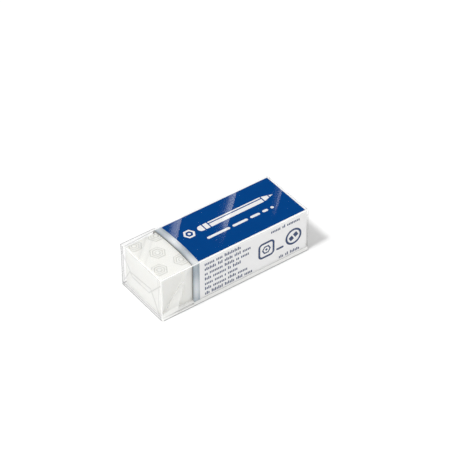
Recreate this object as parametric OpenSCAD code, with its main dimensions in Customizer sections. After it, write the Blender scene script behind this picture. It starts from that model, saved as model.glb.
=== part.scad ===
// Pencil eraser: a moulded vinyl block in a printed card sleeve, overwrapped in clear film.
// Millimetres. X runs along the block, from its bare end to its covered end, Y from front to back.
// The origin is at the middle of the underside.

/* [Eraser block] */
// Length of the block
block_l = 42; // [30:0.5:70]
// Width of the block, front to back
block_w = 15; // [12:0.1:26]
// Height of the block between its top and bottom faces
block_h = 11.3; // [10:0.1:20]
// Rounding of the block's edges
block_edge_r = 0.35; // [0.2:0.05:0.8]

/* [Raised figures] */
// Height of the figures above the top and bottom faces
relief_h = 0.1; // [0.05:0.01:0.2]
// Size of one six-sided figure across its corners
figure_d = 3.8; // [2.6:0.1:4.6]
// Width of the ring that outlines a figure
figure_line = 0.5; // [0.3:0.05:0.7]
// Diameter of the dot in the middle of a figure
figure_dot_d = 1.1; // [0.6:0.1:1.4]
// From the bare end to the first figure's middle
figure_start = 1.9; // [1.5:0.1:4]
// Spacing of the figures along a row
figure_pitch = 6.2; // [5:0.1:9]
// Spacing of the rows across the block
row_pitch = 5.2; // [4.6:0.1:8]
// How far the middle row lies behind the block's middle line
row_shift = 1.1; // [0:0.1:2]

/* [Card sleeve] */
// Thickness of the card
card_t = 0.3; // [0.2:0.05:0.5]
// Length of the sleeve, from its mouth to the block's covered end
sleeve_l = 33.4; // [18:0.1:40]
// Play between the block's sides and the sleeve
side_play = 0.1; // [0.05:0.05:0.4]
// Play between the raised figures and the sleeve
figure_play = 0.05; // [0.05:0.05:0.3]
// Rounding outside the card's folds
fold_r = 0.4; // [0.35:0.05:0.8]
// How far the mouth curves in at the middle of the top and bottom walls
mouth_sag = 0.45; // [0.2:0.05:1.5]
// From the top of the sleeve to the free edge of its outer back wall
seam_drop = 0.6; // [0.5:0.1:2]
// From the bottom wall to the free edge of the glued flap
flap_short = 1.5; // [0.5:0.1:4]

/* [Print] */
// Thickness of the printed layers
ink_t = 0.03; // [0.02:0.005:0.04]
// Width of the silver band round the mouth
band_w = 1.95; // [1:0.05:4]
// Bare card left between a blue field and the sleeve's covered end
field_end_gap = 0.15; // [0.1:0.05:1]
// From the blue field's mouth edge to the badge's middle
badge_start = 4; // [3:0.1:6]
// Size of the badge on the blue field across its corners
badge_d = 3.2; // [2:0.1:4]
// Width of the badge's ring
badge_line = 0.6; // [0.3:0.05:0.8]
// Diameter of the dot in the badge's middle
badge_dot_d = 0.8; // [0.5:0.1:1.2]
// From the badge to the pencil beside it
badge_gap = 0.9; // [0.4:0.1:2]
// Width of the pencil
pencil_w = 2; // [1:0.1:3]
// From the middle of the field to the middle of the pencil
pencil_y = 1.6; // [1.5:0.1:3]
// From the pencil's tip to the end of the blue field
pencil_end_gap = 2.6; // [1:0.1:12]
// Length of the pencil's sharpened point
point_l = 3.2; // [2.2:0.1:5]
// Length of its lead
lead_l = 1.3; // [0.8:0.1:2]
// Length of the pencil's rubber tip
rubber_l = 1.7; // [1:0.1:3]
// Length of the pencil's ferrule
ferrule_l = 1.5; // [0.8:0.1:3]
// Width of the blue lines that draw the pencil
pencil_line = 0.3; // [0.2:0.05:0.5]
// Lengths of the dashes in front of the pencil
dashes = [6.6, 4.4, 2.8, 1.6, 0.9];
// Width of the dashes
dash_w = 0.8; // [0.5:0.1:1.5]
// Gap between the dashes
dash_gap = 0.8; // [0.4:0.1:2]
// From the middle of the field to the middle of the dashes
dash_y = -2.2; // [-4:0.1:-1]
// From the band to the printed lines on the front wall
text_start = 1.5; // [0.5:0.1:4]
// Spacing of the printed lines
line_pitch = 1.5; // [1.3:0.05:2]
// Spacing of the upright strokes that make up a line
stroke_pitch = 0.48; // [0.4:0.02:0.8]
// Width of a stroke
stroke_w = 0.28; // [0.16:0.02:0.4]
// Height of a low stroke
stroke_h = 0.62; // [0.4:0.02:0.8]
// Height of a tall stroke
tall_stroke_h = 0.88; // [0.6:0.02:1.1]
// Strokes in each word of each line, from the top line down
line_words = [
    [6, 4, 10],
    [7, 3, 5, 4, 5],
    [2, 8, 6, 2, 5],
    [4, 8, 2, 5],
    [5, 5, 1, 6],
    [4, 8, 5, 6],
    [3, 7, 6, 4, 5]
];
// From the longest line to the square mark
mark_start = 1.2; // [0.6:0.1:3]
// Size of the square mark and of the round mark
mark_d = 4.8; // [3:0.1:5.5]
// Width of the line that draws the marks
mark_line = 0.55; // [0.3:0.05:0.8]
// Size of the figure in each mark
mark_figure_d = 2.6; // [1.6:0.1:3]
// Width of the figures' lines
mark_figure_line = 0.4; // [0.25:0.05:0.6]
// Gap between the two marks
mark_gap = 3.3; // [1.5:0.1:5]
// Strokes in each word above the marks
upper_words = [6, 2, 8];
// Strokes in each word below the marks
lower_words = [3, 2, 6];

/* [Clear film] */
// Thickness of the film
film_t = 0.05; // [0.03:0.01:0.1]
// Gap between the sleeve and the film
film_gap = 0.05; // [0.05:0.01:0.2]
// Gap between the block's ends and the film
end_gap = 0.4; // [0.3:0.05:1.5]
// Rounding of the wrap's edges
wrap_edge_r = 0.5; // [0.45:0.05:0.8]
// Width of the lap seam along the back
seam_w = 5; // [2:0.5:8]
// How far the lower end flap reaches past the middle of the end
flap_rise = 0.6; // [0:0.1:1.5]
// Overlap of the two end flaps
flap_overlap = 1.3; // [0.5:0.1:2.5]
// From the wrap's side to the flaps' corner, where the side tuck shows
tuck_inset = 3.8; // [2:0.1:5]

/* [Hidden] */
$fn = 48;
cut = 1; // how far a cutting shape runs past what it cuts

// The sleeve closes round the block, its figures and the flap that is glued inside the back wall.
sleeve_w = block_w + 2*side_play + 3*card_t;
sleeve_h = block_h + 2*(relief_h + figure_play + card_t);
sleeve_end = block_l/2;
mouth_x = sleeve_end - sleeve_l;
mouth_r = (sleeve_w*sleeve_w/4 + mouth_sag*mouth_sag)/(2*mouth_sag);

// The film goes round the sleeve and over both ends of the block.
wrap_w = sleeve_w + 2*(film_gap + film_t);
wrap_h = sleeve_h + 2*(film_gap + film_t);
wrap_l = block_l + 2*(end_gap + film_t);
sleeve_z = film_t + film_gap;
block_z = sleeve_z + card_t + figure_play + relief_h;
block_y = -card_t/2;

// The blue fields begin at the band's edge. The marks follow the longest of the printed lines.
field_x = mouth_x + band_w;
field_end = sleeve_end - field_end_gap;
front_z = sleeve_z + sleeve_h/2;
text_x = field_x + text_start;
mark_x = text_x + max([for (words = line_words) line_l(words)]) + mark_start;
marks_l = 2*mark_d + mark_gap;

// Rectangle with round corners, about the origin
module rounded_rect(size, r) {
    square([size.x - 2*r, size.y], center = true);
    square([size.x, size.y - 2*r], center = true);
    for (x = [-1, 1], y = [-1, 1])
        translate([x*(size.x/2 - r), y*(size.y/2 - r)]) circle(r);
}

// Box with round edges, standing on z = 0: three outlines, each swept along one axis, and what they share
module rounded_box(size, r) {
    intersection() {
        linear_extrude(size.z) rounded_rect([size.x, size.y], r);
        translate([0, size.y/2, size.z/2]) rotate([90, 0, 0])
            linear_extrude(size.y) rounded_rect([size.x, size.z], r);
        translate([-size.x/2, 0, size.z/2]) rotate([90, 0, 90])
            linear_extrude(size.x) rounded_rect([size.y, size.z], r);
    }
}

// Six-sided ring with a dot in its middle, like the end of a pencil
module pencil_end(d, line, dot_d) {
    difference() {
        circle(d/2, $fn = 6);
        circle(d/2 - line, $fn = 6);
    }
    circle(dot_d/2);
}

// Staggered rows of figures over one face of the block, cut off where the edges begin to round
module figures() {
    flat = [block_l - 2*block_edge_r, block_w - 2*block_edge_r];
    intersection() {
        square(flat, center = true);
        for (row = [-2 : 2]) {
            y = row_shift + row*row_pitch;
            first = -block_l/2 + figure_start + (row % 2 == 0 ? figure_pitch/2 : 0);
            if (abs(y) - figure_d/2 < flat.y/2)
                for (x = [first : figure_pitch : flat.x/2 + figure_d/4])
                    translate([x, y]) pencil_end(figure_d, figure_line, figure_dot_d);
        }
    }
}

module eraser_block() {
    color([0.97, 0.97, 0.95]) translate([0, block_y, block_z]) {
        rounded_box([block_l, block_w, block_h], block_edge_r);
        translate([0, 0, block_h - relief_h]) linear_extrude(2*relief_h) figures();
        translate([0, 0, -relief_h]) linear_extrude(2*relief_h) figures();
    }
}

// Outside of the folded card, seen along the sleeve, grown by the thickness of a layer on it.
// The top wall folds down inside the back wall, whose free edge stops short of the top.
module sleeve_outline(grow = 0) {
    size = [sleeve_w + 2*grow, sleeve_h + 2*grow];
    translate([-card_t/2, 0]) rounded_rect([size.x - card_t, size.y], fold_r + grow);
    intersection() {
        rounded_rect(size, fold_r + grow);
        translate([-sleeve_w, -3/2*sleeve_h - seam_drop]) square(2*[sleeve_w, sleeve_h]);
    }
}

// The folded card seen along the sleeve, with the flap that hangs from the top wall inside the back wall
module sleeve_section() {
    hollow = [sleeve_w - 3*card_t, sleeve_h - 2*card_t];
    difference() {
        sleeve_outline();
        translate([-card_t/2, 0]) rounded_rect(hollow, fold_r - card_t);
        translate([sleeve_w/2 - 3*card_t, -hollow.y/2]) square([2*card_t, flap_short]);
    }
}

// Upright cylinder whose side crosses the sleeve's front and back walls at x and bows past it between them
module mouth_cut(x) {
    translate([x + mouth_sag - mouth_r, 0, -cut]) cylinder(h = wrap_h + 2*cut, r = mouth_r, $fn = 256);
}

// Section swept along X, on from the curved cut at from_x
module sleeve_from(from_x) {
    difference() {
        translate([from_x - mouth_sag, 0, front_z]) rotate([90, 0, 90])
            linear_extrude(sleeve_end + mouth_sag - from_x) children();
        mouth_cut(from_x);
    }
}

module card_sleeve() {
    color([0.94, 0.94, 0.93]) sleeve_from(mouth_x) sleeve_section();
}

// Silver print round the mouth, over all four walls
module silver_band() {
    color([0.75, 0.79, 0.82]) intersection() {
        sleeve_from(mouth_x) difference() {
            sleeve_outline(ink_t);
            sleeve_outline();
        }
        mouth_cut(field_x);
    }
}

// Flat part of a wall that takes print, between two folds, from the band to near the covered end
module print_area(low, high) {
    translate([field_x, low]) square([field_end - field_x, high - low]);
}

// Blue ground of a broad wall, as far back as back_y, with the band's curved edge
module blue_ground(back_y) {
    difference() {
        print_area(fold_r - sleeve_w/2, back_y);
        translate([field_x + mouth_sag - mouth_r, 0]) circle(mouth_r, $fn = 256);
    }
}

// Bar along X from the origin, with round ends, centred on the X axis
module bar(l, w) {
    translate([w/2, -w/2]) square([l - w, w]);
    for (x = [w/2, l - w/2]) translate([x, 0]) circle(w/2);
}

// Pencil along X from the origin, centred on the X axis: rubber, ferrule, two facets, wood and lead,
// with lines left out between them
module pencil(l) {
    half = pencil_w/2;
    body_x = rubber_l + ferrule_l;
    wood_x = l - point_l;
    difference() {
        union() {
            translate([half, 0]) circle(half);
            translate([half, -half]) square([wood_x - half, pencil_w]);
            polygon([[wood_x, -half], [l, 0], [wood_x, half]]);
        }
        for (x = [rubber_l, body_x, wood_x, l - lead_l])
            translate([x - pencil_line/2, -half]) square([pencil_line, pencil_w]);
        translate([body_x, half/4]) square([wood_x - body_x, pencil_line]);
    }
}

// Place along a row of pieces of given lengths where piece i begins
function row_place(lengths, gap, i) = i == 0 ? 0 : row_place(lengths, gap, i - 1) + lengths[i - 1] + gap;

// Bare places in the blue ground, where the white card shows: a badge, a pencil and a row of dashes
module field_marks() {
    badge_x = field_x + badge_start;
    pencil_x = badge_x + badge_d/2 + badge_gap;
    translate([badge_x, pencil_y]) pencil_end(badge_d, badge_line, badge_dot_d);
    translate([pencil_x, pencil_y]) pencil(field_end - pencil_end_gap - pencil_x);
    for (i = [0 : len(dashes) - 1])
        translate([pencil_x + row_place(dashes, dash_gap, i), dash_y]) bar(dashes[i], dash_w);
}

module top_blue_field() {
    color([0.0, 0.26, 0.54]) translate([0, 0, sleeve_z + sleeve_h]) linear_extrude(ink_t) difference() {
        blue_ground(sleeve_w/2 - card_t - fold_r);
        field_marks();
    }
}

module bottom_blue_field() {
    color([0.0, 0.26, 0.54]) translate([0, 0, sleeve_z - ink_t]) linear_extrude(ink_t)
        blue_ground(sleeve_w/2 - fold_r);
}

// Length of a line of words. A word of n strokes and the gap after it take n + 1 strokes' spacing.
function line_l(words) = row_place(words, 1, len(words))*stroke_pitch;

// One line of words as upright strokes, some of them tall, from the origin along X
module word_line(words) {
    for (i = [0 : len(words) - 1], n = [0 : words[i] - 1]) {
        tall = (n*n + words[i] + i) % 4 == 0;
        translate([(row_place(words, 1, i) + n)*stroke_pitch, -stroke_h/2])
            square([stroke_w, tall ? tall_stroke_h : stroke_h]);
    }
}

// Square outline with a pencil's end in it
module square_mark() {
    inner_d = mark_d - 2*mark_line;
    difference() {
        rounded_rect([mark_d, mark_d], mark_d/4);
        rounded_rect([inner_d, inner_d], mark_d/4 - mark_line);
    }
    pencil_end(mark_figure_d, mark_figure_line, mark_figure_d/4);
}

// Round outline with a tilted block in it, in two halves
module round_mark() {
    difference() {
        circle(mark_d/2);
        circle(mark_d/2 - mark_line);
    }
    rotate(30) difference() {
        square([mark_figure_d, mark_figure_d/2], center = true);
        square([mark_figure_line, mark_figure_d], center = true);
    }
}

// Print on the front wall, about its middle line: the lines of words, then the marks with a short bar
// between them and words above and below
module front_print() {
    top_line = (len(line_words) - 1)/2*line_pitch;
    for (i = [0 : len(line_words) - 1])
        translate([text_x, top_line - i*line_pitch]) word_line(line_words[i]);
    translate([mark_x + mark_d/2, 0]) square_mark();
    translate([mark_x + marks_l - mark_d/2, 0]) round_mark();
    translate([mark_x + mark_d + mark_gap/6, -mark_d/3]) bar(2/3*mark_gap, mark_line);
    translate([mark_x + marks_l - line_l(upper_words), top_line]) word_line(upper_words);
    translate([mark_x + marks_l - line_l(lower_words), -top_line]) word_line(lower_words);
}

module front_marks() {
    color([0.08, 0.2, 0.42]) translate([0, -sleeve_w/2, front_z]) rotate([90, 0, 0])
        linear_extrude(ink_t) intersection() {
            front_print();
            print_area(fold_r - sleeve_h/2, sleeve_h/2 - fold_r);
        }
}

// Flaps of one end, seen along the wrap, about the middle of the end. Both narrow towards the
// corners where the side tucks show.
module upper_flap() {
    half = wrap_w/2 - wrap_edge_r;
    top = wrap_h/2 - wrap_edge_r;
    low = flap_rise - flap_overlap;
    inset = tuck_inset*(top - low)/(top - flap_rise);
    polygon([[-half, top], [half, top], [half - inset, low], [inset - half, low]]);
}

module lower_flap() {
    half = wrap_w/2 - wrap_edge_r;
    low = wrap_edge_r - wrap_h/2;
    polygon([[-half, low], [half, low], [half - tuck_inset, flap_rise], [tuck_inset - half, flap_rise]]);
}

// Flaps of the covered end, in place. The lower one lies over the upper one.
module end_flaps() {
    translate([wrap_l/2, 0, wrap_h/2]) rotate([90, 0, 90]) {
        linear_extrude(film_t) upper_flap();
        linear_extrude(2*film_t) lower_flap();
    }
}

module film_wrapper() {
    inner_r = wrap_edge_r - film_t;
    color([0.85, 0.92, 0.97, 0.25]) {
        difference() {
            rounded_box([wrap_l, wrap_w, wrap_h], wrap_edge_r);
            translate([0, 0, film_t])
                rounded_box([wrap_l - 2*film_t, wrap_w - 2*film_t, wrap_h - 2*film_t], inner_r);
        }
        end_flaps();
        mirror([1, 0, 0]) end_flaps();
        translate([wrap_edge_r - wrap_l/2, wrap_w/2, (wrap_h - seam_w)/2])
            cube([wrap_l - 2*wrap_edge_r, film_t, seam_w]);
    }
}

eraser_block();
card_sleeve();
silver_band();
top_blue_field();
bottom_blue_field();
front_marks();
film_wrapper();
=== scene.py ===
import math

import bpy
import numpy as np
from mathutils import Matrix, Vector


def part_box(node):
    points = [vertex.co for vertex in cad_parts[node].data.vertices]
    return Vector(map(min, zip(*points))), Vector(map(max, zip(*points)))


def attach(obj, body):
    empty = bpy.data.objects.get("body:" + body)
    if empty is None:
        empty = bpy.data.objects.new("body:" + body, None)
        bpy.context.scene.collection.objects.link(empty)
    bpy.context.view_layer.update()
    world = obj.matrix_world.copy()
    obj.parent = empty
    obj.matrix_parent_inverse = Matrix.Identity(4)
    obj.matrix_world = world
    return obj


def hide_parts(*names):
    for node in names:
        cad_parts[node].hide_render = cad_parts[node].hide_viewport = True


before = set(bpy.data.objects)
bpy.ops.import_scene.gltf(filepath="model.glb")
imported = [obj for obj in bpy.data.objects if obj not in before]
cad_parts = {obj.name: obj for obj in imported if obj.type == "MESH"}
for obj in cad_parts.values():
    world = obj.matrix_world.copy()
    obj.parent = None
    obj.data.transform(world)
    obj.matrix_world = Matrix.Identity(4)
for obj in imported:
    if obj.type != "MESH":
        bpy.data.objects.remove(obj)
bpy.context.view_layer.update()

bl_info = {
    "name": "Wrapped rubber eraser",
    "version": (1, 0, 0),
    "blender": (4, 5, 0),
    "location": "3D View > Sidebar > Eraser",
    "description": "Vinyl block in a printed card sleeve and clear film, made over its CAD frame",
    "category": "Object",
}

MM = 0.001
BODY = "root"

# Boxes of the CAD nodes that the new pieces and the materials follow, in metres
BLOCK_LOW, BLOCK_HIGH = (np.array(corner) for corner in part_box("eraser_block"))
FILM_LOW, FILM_HIGH = (np.array(corner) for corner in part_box("film_wrapper"))
BAND_LOW, BAND_HIGH = (np.array(corner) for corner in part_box("silver_band"))
BLUE_LOW, BLUE_HIGH = (np.array(corner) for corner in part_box("top_blue_field"))

# Sizes that part.scad gives the print, and how far its curved edges bow
BAND_WIDTH = 1.95*MM
BAND_SAG = 0.45*MM
BLUE_SAG = 0.41*MM  # bow of the blue field's edge, from its middle to its corners

# Steps of the grids, fine where a surface has its detail
ROUND_STEPS = 3  # steps round half an edge
BLOCK_STEPS = (0.14*MM, 0.14*MM, 1.2*MM)  # along X, Y and Z: fine over the broad faces for the figures
FILM_FINE_STEPS = [0.12*MM]*8  # beside the film's edges, for their lines
FLOOR_STEPS = 8

TABLE_GAP = 0.02*MM  # air between the film and the table
SENSOR_WIDTH = 36.0
CAMERA_CLIP = (0.01, 20.0)


# Surfaces

def ease(value):
    """Smooth step: 0 below 0, 1 above 1, and 3v^2 - 2v^3 between."""
    value = np.clip(value, 0, 1)
    return value*value*(3 - 2*value)


def bell(value):
    """Round peak: e to the minus value squared, 1 at 0."""
    return np.exp(-value*value)


def grid_faces(rows, columns):
    """Four-sided faces between the points of a grid that are numbered row after row."""
    index = np.arange(rows*columns).reshape(rows, columns)
    return np.stack([index[:-1, :-1], index[1:, :-1], index[1:, 1:], index[:-1, 1:]], -1).reshape(-1, 4)


def edge_ticks(half, radius, step, turns, fine):
    """Places along one axis from -half to half: even steps over the flat part, a few fine steps at its
    ends, then the rounding, where a place is the flat part's end plus radius times the tangent of an
    evenly growing angle."""
    flat = half - radius
    wide = flat - sum(fine)
    middle = np.linspace(-wide, wide, max(2, round(2*wide/step)) + 1)
    for width in fine:
        middle = np.concatenate([[middle[0] - width], middle, [middle[-1] + width]])
    turn = flat + radius*np.tan(np.linspace(0, math.pi/4, turns + 1)[1:])
    return np.concatenate([-turn[::-1], middle, turn])


def rounded_box(half, radius, steps, turns, fine=()):
    """Closed box with round edges about the origin, as six grids that share their border points.

    A point of the sharp box is clamped to the box that lies one radius further in. The surface point
    is the clamped point plus one radius along the line to the sharp point, which is also the normal.
    fine holds the widths of extra steps of the grid at each end of the flat parts, the last one outermost.
    Returns points, normals and four-sided faces that point outwards."""
    half = np.asarray(half, float)
    ticks = [edge_ticks(half[axis], radius, steps[axis], turns, fine) for axis in range(3)]
    sharp, faces, count = [], [], 0
    for axis in range(3):
        first, second = (axis + 1) % 3, (axis + 2) % 3
        u, v = np.meshgrid(ticks[first], ticks[second], indexing="ij")
        quads = grid_faces(*u.shape)
        for side in (-1, 1):
            grid = np.empty(u.shape + (3,))
            grid[..., axis], grid[..., first], grid[..., second] = side*half[axis], u, v
            sharp.append(grid.reshape(-1, 3))
            faces.append((quads if side > 0 else quads[:, ::-1]) + count)
            count += u.size
    sharp, faces = np.concatenate(sharp), np.concatenate(faces)
    _, kept, place = np.unique(np.round(sharp/1e-9).astype(np.int64), axis=0,
                               return_index=True, return_inverse=True)
    sharp, faces = sharp[kept], place.reshape(-1)[faces]
    inner = np.clip(sharp, radius - half, half - radius)
    normal = sharp - inner
    normal /= np.linalg.norm(normal, axis=1, keepdims=True)
    return inner + radius*normal, normal, faces


FIGURE_FOOT_OUT = 0.07*MM  # from a figure's outline to the painted shade line round it
FIGURE_FOOT_WIDTH = 0.1*MM


def rows_of_figures(x, y, settings):
    """Raised figures of the block's broad faces, seen from above, x and y from the block's middle.

    The rows lie one row pitch apart, and every other row starts half a figure pitch further on. In a
    row each place looks at its nearest figure. A six-sided ring is where the six-sided distance, the
    larger of |y| and cos 30 |x| + sin 30 |y|, lies near the ring's middle line. The dot is where the
    round distance is short. Returns the height and the strength of the painted shade line along a
    figure's foot, both from 0 to 1."""
    half_l = (BLOCK_HIGH[0] - BLOCK_LOW[0])/2
    across = math.cos(math.radians(30))
    ring_middle = (settings.figure_size/2 - settings.figure_line/2)*across
    inside = -np.ones_like(x)
    for row in (-1, 0, 1):
        start = settings.figure_start - half_l + (settings.figure_pitch/2 if row == 0 else 0)
        dy = y - settings.row_shift - row*settings.row_pitch
        number = np.maximum(np.round((x - start)/settings.figure_pitch), 0)
        dx = x - start - number*settings.figure_pitch
        six_sided = np.maximum(np.abs(dy), across*np.abs(dx) + np.abs(dy)/2)
        ring = settings.figure_line/2*across - np.abs(six_sided - ring_middle)
        dot = settings.figure_dot/2 - np.hypot(dx, dy)
        inside = np.maximum(inside, np.maximum(ring, dot))
    foot = (inside + FIGURE_FOOT_OUT)/FIGURE_FOOT_WIDTH
    return ease(0.5 + inside/settings.figure_soft), bell(foot)


# The film's folds, haze and lines, with painted light and painted shade. Places and widths are in
# millimetres in the object's frame, and strengths go from 0 to 1.

# Folds of the film on the broad top: start at the far edge, end, width at the start and at the end,
# and slope of the rise on the side towards the bare end
TOP_RIDGES = [
    ((-4.5, 7.3), (-12.6, -1.3), 3.6, 3.0, 0.07),
    ((11.9, 7.4), (-3.4, -7.3), 3.8, 3.4, 0.095),
    ((21.4, 1.65), (12.4, -6.3), 2.8, 0.9, 0.1),
]
RIDGE_HAZE, RIDGE_STEP = 0.08, 0.4  # haze on the side that rises, and the width of its step
# Folds over the bare end, drawn only as painted shade in soft grey tones: the same values, with the tone on
# the line last
TOP_TONES = [
    ((-14.2, 7.3), (-21.4, 0.6), 2.6, 1.6, 0.16),
    ((-14.4, 4.9), (-20.2, -0.7), 1.6, 0.8, 0.12),
]
TONE_START, TONE_FADE = -10, 3  # the painted shade comes up over this length towards the bare end
TONE_STEP = 0.5  # width of their step across the line
TOP_FADE = 0.5  # the top's folds fade out over this before its edges
BARE_TOP_PAINTED_LIGHT = 0.15  # painted light: a whitening of the film over the block's top that brightens it

# The painted highlight of a whiter wedge on the near wall, in x and z: its soft side and its sharp side,
# each from the top down
WEDGE_SOFT = ((-16.4, 10.4), (-21.3, 3.2))
WEDGE_SHARP = ((-14.6, 9.7), (-16.9, 1.4))
SOFT_WIDTH, SOFT_LOSS = 3, 0.2  # the soft side's width at the foot, and how much it loses per mm up
SHARP_WIDTH = 0.5
WEDGE_PAINTED_HIGHLIGHT, WEDGE_FOOT, WEDGE_FOOT_FADE = 0.7, 0.9, 0.3  # strength of the painted highlight, which starts over this height
WEDGE_LOSS, WEDGE_LOSS_START, WEDGE_LOSS_FADE = 0.7, 4, 6  # and is weaker higher up
WEDGE_LEFT_TONE, WEDGE_RIGHT_TONE = 0.06, 0.04  # painted shade: grey beside it, towards the bare end and the sleeve
TONE_CHANGE, TONE_CHANGE_WIDTH = -17, 2  # where one goes over into the other
WEDGE_RIM_TONE, WEDGE_RIM_PLACE, WEDGE_RIM_WIDTH = 0.05, 0.5, 0.9  # painted shade: a darker stripe along the sharp side
NEAR_TONE_FADE = 0.4  # the painted shade fades out over this before the wall's top and foot

# Painted light at the near wall's foot, a whitening that covers the shaded gap under the block, and the
# clear slit in it that shows the dark gap under the block
FOOT_PAINTED_LIGHT, FOOT_START, FOOT_START_FADE = 0.85, 0.05, 0.1
FOOT_TOP, FOOT_FADE = 1.15, 0.25  # where it ends over the sleeve, and over what height it fades
FOOT_TOP_MORE, FOOT_FADE_MORE = 1.6, 1.35  # how much more both are over the bare end
SLIT_HEIGHT, SLIT_WIDTH = 0.74, 0.14
SLIT_WEAK, SLIT_START, SLIT_FADE = 0.2, -20, 5  # weak at the bare end, and full further on

# The lap on the back and the flaps on the ends
LAP_LINE, LAP_LINE_WIDTH, LAP_HAZE = 0.5, 0.18, 0.1
LAP_STEP, FLAP_STEP = 0.3, 0.2  # width of the step up onto the lap and onto a flap
FLAP_TILT = 0.09  # fall of the lower flap's rim towards the back
FLAP_DROP = 1.5  # from the top edge down to the upper flap's corners
FLAP_LINE, FLAP_HAZE = 0.31, 0.05
LOWER_WIDTH, UPPER_WIDTH, UPPER_BACK_WIDTH = 0.16, 0.15, 0.24  # of the flaps' lines
# painted shade: a faint grey over the bare end's film, which darkens the end face under it
BARE_END_TONE = 0.035

# The edges
EDGE_REACH = 0.3  # a point belongs to an edge when it is this near to both its walls' ends
UPRIGHT_HIGHLIGHT, NEAR_TOP_HIGHLIGHT, END_TOP_HIGHLIGHT = 0.65, 0.75, 0.35  # painted highlight, a whitening, of the edges by the bare end and along the near top
HIGHLIGHT_WIDTH = 0.12
# The grey line on an edge is partly a crease and partly painted shade for the dark rim of the film's
# rounded edge.
CREASE_WIDTH, FAR_CREASE_WIDTH = 0.08, 0.11
# Where an edge's crease is weaker: the bare end's foot, the far top edge over the sleeve, and the
# covered end
END_FOOT_CREASE, SLEEVE_TOP_LOSS, COVERED_CREASE = 0.45, 0.6, 0.6
# Inner line beside the ends' uprights, painted shade of the block's edge seen through the film: its place,
# its strength and the near one's share of that
END_INSET, END_INSET_LINE, END_INSET_NEAR = 0.88, 0.9, 0.3
END_FOOT_INSET, END_FOOT_LINE = 0.86, 0.5  # inner line over the ends' foot, painted shade of the block's lower edge
END_LINE_WIDTH = 0.13
TOP_INSET, TOP_INSET_SLOPE = 0.8, 0.055  # inner line beside the far top edge, painted shade of the block's edge, wider to the bare end
TOP_INSET_LINE, TOP_LINE_WIDTH = 0.6, 0.12

# Where the film is drawn in to the card, and where it flares at the near foot
COVERED_START = 20  # the covered end's edges are drawn in from here
DRAWN_NEAR, DRAWN_NEAR_FADE = -7, 2  # and from here towards the back
DRAWN_LOW = 4  # above the wrap's middle
FLARE_NEAR, FLARE_FADE, FLARE_HEIGHT = -7, 1.2, 0.6


def ridge(u, v, start, end, first, last):
    """Fold in a stretched film along the line from start to end, in millimetres.

    Across the line the height grows with the square of the way through the fold's width, up to 1 on
    the line, and beyond it sinks slowly. The width goes evenly from first to last. The fold keeps its
    strength near its start and loses it with a smooth step towards its end. Returns height, strength,
    the distance across the line and the width."""
    way = np.subtract(end, start)
    length = np.hypot(*way)
    way = way/length
    along = (u - start[0])*way[0] + (v - start[1])*way[1]
    across = -(u - start[0])*way[1] + (v - start[1])*way[0]
    width = first + (last - first)*np.clip(along/length, 0, 1)
    strength = ease(2 - 2*along/length)
    rise = np.clip(1 + across/width, 0, 1)**2
    fall = np.clip(1 - across/(4*width), 0, 1)**2
    return np.where(across < 0, rise, fall), strength, across, width


def past_line(u, v, start, end):
    """Distance past the line from start to end, in millimetres, on the left of the way along it."""
    way = np.subtract(end, start)
    way = way/np.hypot(*way)
    return (v - start[1])*way[0] - (u - start[0])*way[1]


def flap_depth(u, v, half_u, corner_u, base, rim, tilt=0.0):
    """Distance inside a four-sided flap that narrows from its base to its rim, in millimetres: the
    least of the distances to its rim and to its two slanted sides. tilt is the rim's fall along u."""
    way = np.array([corner_u - half_u, rim - base])
    way = way/np.hypot(*way)
    towards = np.sign(rim - base)
    side = (half_u - np.abs(u))*abs(way[1]) - towards*(v - base)*abs(way[0])
    return np.minimum(side, towards*(rim - tilt*u - v))


class FilmPoints:
    """Points of the film's plain box, in millimetres, and where each of them lies.

    v is the height over the wrap's middle. flat is half the size of the flat walls, and margin each
    point's distance inside their ends, both by axis. top, near, back and ends are 1 on a flat wall and
    0 elsewhere, and near_side takes in the roundings beside the near wall. bare falls from 1 to 0 at
    the sleeve's mouth."""

    def __init__(self, points, normal, settings):
        self.x, self.y, self.z = points.T/MM
        middle = (self.z.max() + self.z.min())/2
        self.v = self.z - middle
        half = np.array([np.abs(self.x).max(), np.abs(self.y).max(), (self.z.max() - self.z.min())/2])
        self.flat = half - settings.edge_radius/MM
        self.margin = self.flat[:, None] - np.abs(np.array([self.x, self.y, self.v]))
        self.top = np.where(normal[:, 2] > 0.9, 1.0, 0.0)
        self.near = np.where(normal[:, 1] < -0.9, 1.0, 0.0)
        self.near_side = np.where(normal[:, 1] < -0.5, 1.0, 0.0)
        self.back = np.where(normal[:, 1] > 0.9, 1.0, 0.0)
        self.ends = np.where(np.abs(normal[:, 0]) > 0.9, 1.0, 0.0)
        self.mouth = BAND_LOW[0]/MM
        self.bare = 1 - ease((self.x - self.mouth + 0.2)/0.4)


def top_folds(film, settings):
    """Stretched folds over the broad top, and painted light over the block: a whitening that brightens its
    top. The folds' rise stands in the surface, and the tones, painted shade, are soft steps across their
    lines. Returns height, haze and line."""
    height, haze_and_painted_light, line = np.zeros_like(film.x), BARE_TOP_PAINTED_LIGHT*film.bare*film.top, np.zeros_like(film.x)
    inside = film.top*ease(film.margin[0]/TOP_FADE)*ease(film.margin[1]/TOP_FADE)
    for start, end, first, last, slope in TOP_RIDGES:
        shape, strength, across, width = ridge(film.x, film.y, start, end, first, last)
        height += inside*strength*shape*slope*width/2*settings.crease_slope
        haze_and_painted_light += RIDGE_HAZE*inside*strength*shape*ease(0.5 - across/RIDGE_STEP)
    for start, end, first, last, tone in TOP_TONES:
        shape, _, across, _ = ridge(film.x, film.y, start, end, first, last)
        line += inside*tone*ease((TONE_START - film.x)/TONE_FADE)*shape*ease(0.5 - across/TONE_STEP)
    return height, haze_and_painted_light, line


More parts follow.
